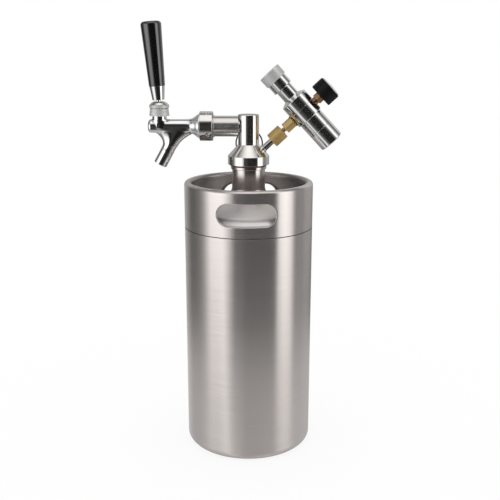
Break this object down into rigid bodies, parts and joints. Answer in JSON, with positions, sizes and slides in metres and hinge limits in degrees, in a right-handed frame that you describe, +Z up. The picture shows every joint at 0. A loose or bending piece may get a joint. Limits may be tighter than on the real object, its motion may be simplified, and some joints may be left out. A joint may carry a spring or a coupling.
{
  "type": "mini keg drink dispenser",
  "caption": "Stainless mini keg with carry collar and a screw-on tapping head: arm, faucet with lever handle, gas pipe and swivelling cartridge regulator with gauge.",
  "frame": {"origin": "centre of the keg's standing ring, on the surface it stands on", "axes": "+Z up along the keg, the faucet points to -X, the gas side to +X, the hand slots face -Y and +Y"},
  "size_m": [0.2474, 0.164, 0.5472],
  "materials": {
    "brushed_steel": "fine circumferential brushing",
    "polished_steel": "turned and mirror polished",
    "chrome": "bright chrome plating on brass",
    "ring_satin": "bead-blasted satin, knurled",
    "knob_satin": "satin grip, bright collar",
    "brass": "plain turned brass",
    "washer_brass": "satin",
    "silicone": "dark red-brown silicone",
    "black_rubber": "black seal rubber",
    "white_nylon": "plain nylon",
    "handle_black": "gloss black moulding",
    "gauge_black": "satin black enamel",
    "dial_white": "white enamel with a plain scale",
    "lens": "clear"
  },
  "bodies": {
    "keg": {"keg_vessel": "brushed_steel", "carry_collar": "brushed_steel"},
    "gasket": {"head_gasket": "silicone"},
    "head": {"head_body": "polished_steel", "plug_seal": "black_rubber", "dip_tube": "polished_steel", "arm_tube": "polished_steel", "coupling_washer": "black_rubber", "faucet_body": "chrome", "ball_washer": "white_nylon", "bonnet": "ring_satin", "bonnet_ring": "ring_satin", "gas_pipe": "polished_steel", "prv_body": "polished_steel"},
    "coupling_nut": {"coupling_nut": "polished_steel"},
    "lever": {"tap_lever": "chrome", "ferrule": "chrome", "tap_handle": "handle_black"},
    "shaft": {"faucet_shaft": "chrome", "shaft_seal": "black_rubber"},
    "union_nut": {"union_nut": "brass"},
    "regulator": {"union_seal": "black_rubber", "outlet_fitting": "brass", "outlet_washer": "washer_brass", "regulator_body": "chrome", "regulator_bonnet": "chrome", "piercing_pin": "brass", "cartridge_seal": "black_rubber", "cartridge_adapter": "chrome", "gauge_stem": "brass", "gauge_case": "gauge_black", "gauge_dial": "dial_white", "gauge_lens": "lens"},
    "knob": {"regulator_knob": "knob_satin", "adjusting_screw": "brass"},
    "cup": {"cartridge_cup": "chrome", "gas_cartridge": "polished_steel"},
    "needle": {"gauge_needle": "gauge_black"},
    "relief_stem": {"prv_stem": "polished_steel"},
    "relief_ring": {"prv_ring": "polished_steel"}
  },
  "joints": [
    {"name": "head_lift", "type": "slide", "parent": "keg", "child": "gasket", "axis": [0, 0, 1], "range_m": [0, 0.37]},
    {"name": "head_turn", "type": "hinge", "parent": "gasket", "child": "head", "pos_m": [0, 0, 0.3722], "axis": [0, 0, 1], "continuous": true},
    {"name": "coupling_nut_spin", "type": "hinge", "parent": "head", "child": "coupling_nut", "pos_m": [-0.0447, 0, 0.4197], "axis": [1, 0, 0], "continuous": true},
    {"name": "tap_lever", "type": "hinge", "parent": "head", "child": "lever", "pos_m": [-0.1117, 0, 0.4422], "axis": [0, -1, 0], "range_deg": [0, 18]},
    {"name": "shaft_slide", "type": "slide", "parent": "head", "child": "shaft", "axis": [1, 0, 0], "range_m": [0, 0.00697]},
    {"name": "union_nut_spin", "type": "hinge", "parent": "head", "child": "union_nut", "pos_m": [0.02966, 0, 0.40155], "axis": [0.7314, 0, 0.682], "continuous": true},
    {"name": "regulator_swivel", "type": "hinge", "parent": "head", "child": "regulator", "pos_m": [0.0693, 0, 0.43851], "axis": [0.7314, 0, 0.682], "continuous": true},
    {"name": "pressure_knob", "type": "hinge", "parent": "regulator", "child": "knob", "pos_m": [0.0693, 0, 0.43851], "axis": [-0.682, 0, 0.7314], "range_deg": [0, 1080]},
    {"name": "cup_off", "type": "slide", "parent": "regulator", "child": "cup", "axis": [0.682, 0, -0.7314], "range_m": [0, 0.055]},
    {"name": "gauge_needle", "type": "hinge", "parent": "regulator", "child": "needle", "pos_m": [0.10104, 0, 0.46811], "axis": [-0.7314, 0, -0.682], "range_deg": [0, 270], "stiffness_Nm_per_rad": 0.0005, "springref_deg": -11.46},
    {"name": "relief_pull", "type": "slide", "parent": "head", "child": "relief_stem", "axis": [0, 1, 0], "range_m": [0, 0.0025], "stiffness_N_per_m": 800, "springref_m": -0.002},
    {"name": "relief_ring_swing", "type": "hinge", "parent": "relief_stem", "child": "relief_ring", "pos_m": [0, 0.0285, 0.41205], "axis": [1, 0, 0], "range_deg": [0, 110]}
  ],
  "couplings": [
    {"joint": "shaft_slide", "follows": "tap_lever", "m_per_rad": 0.021868}
  ]
}
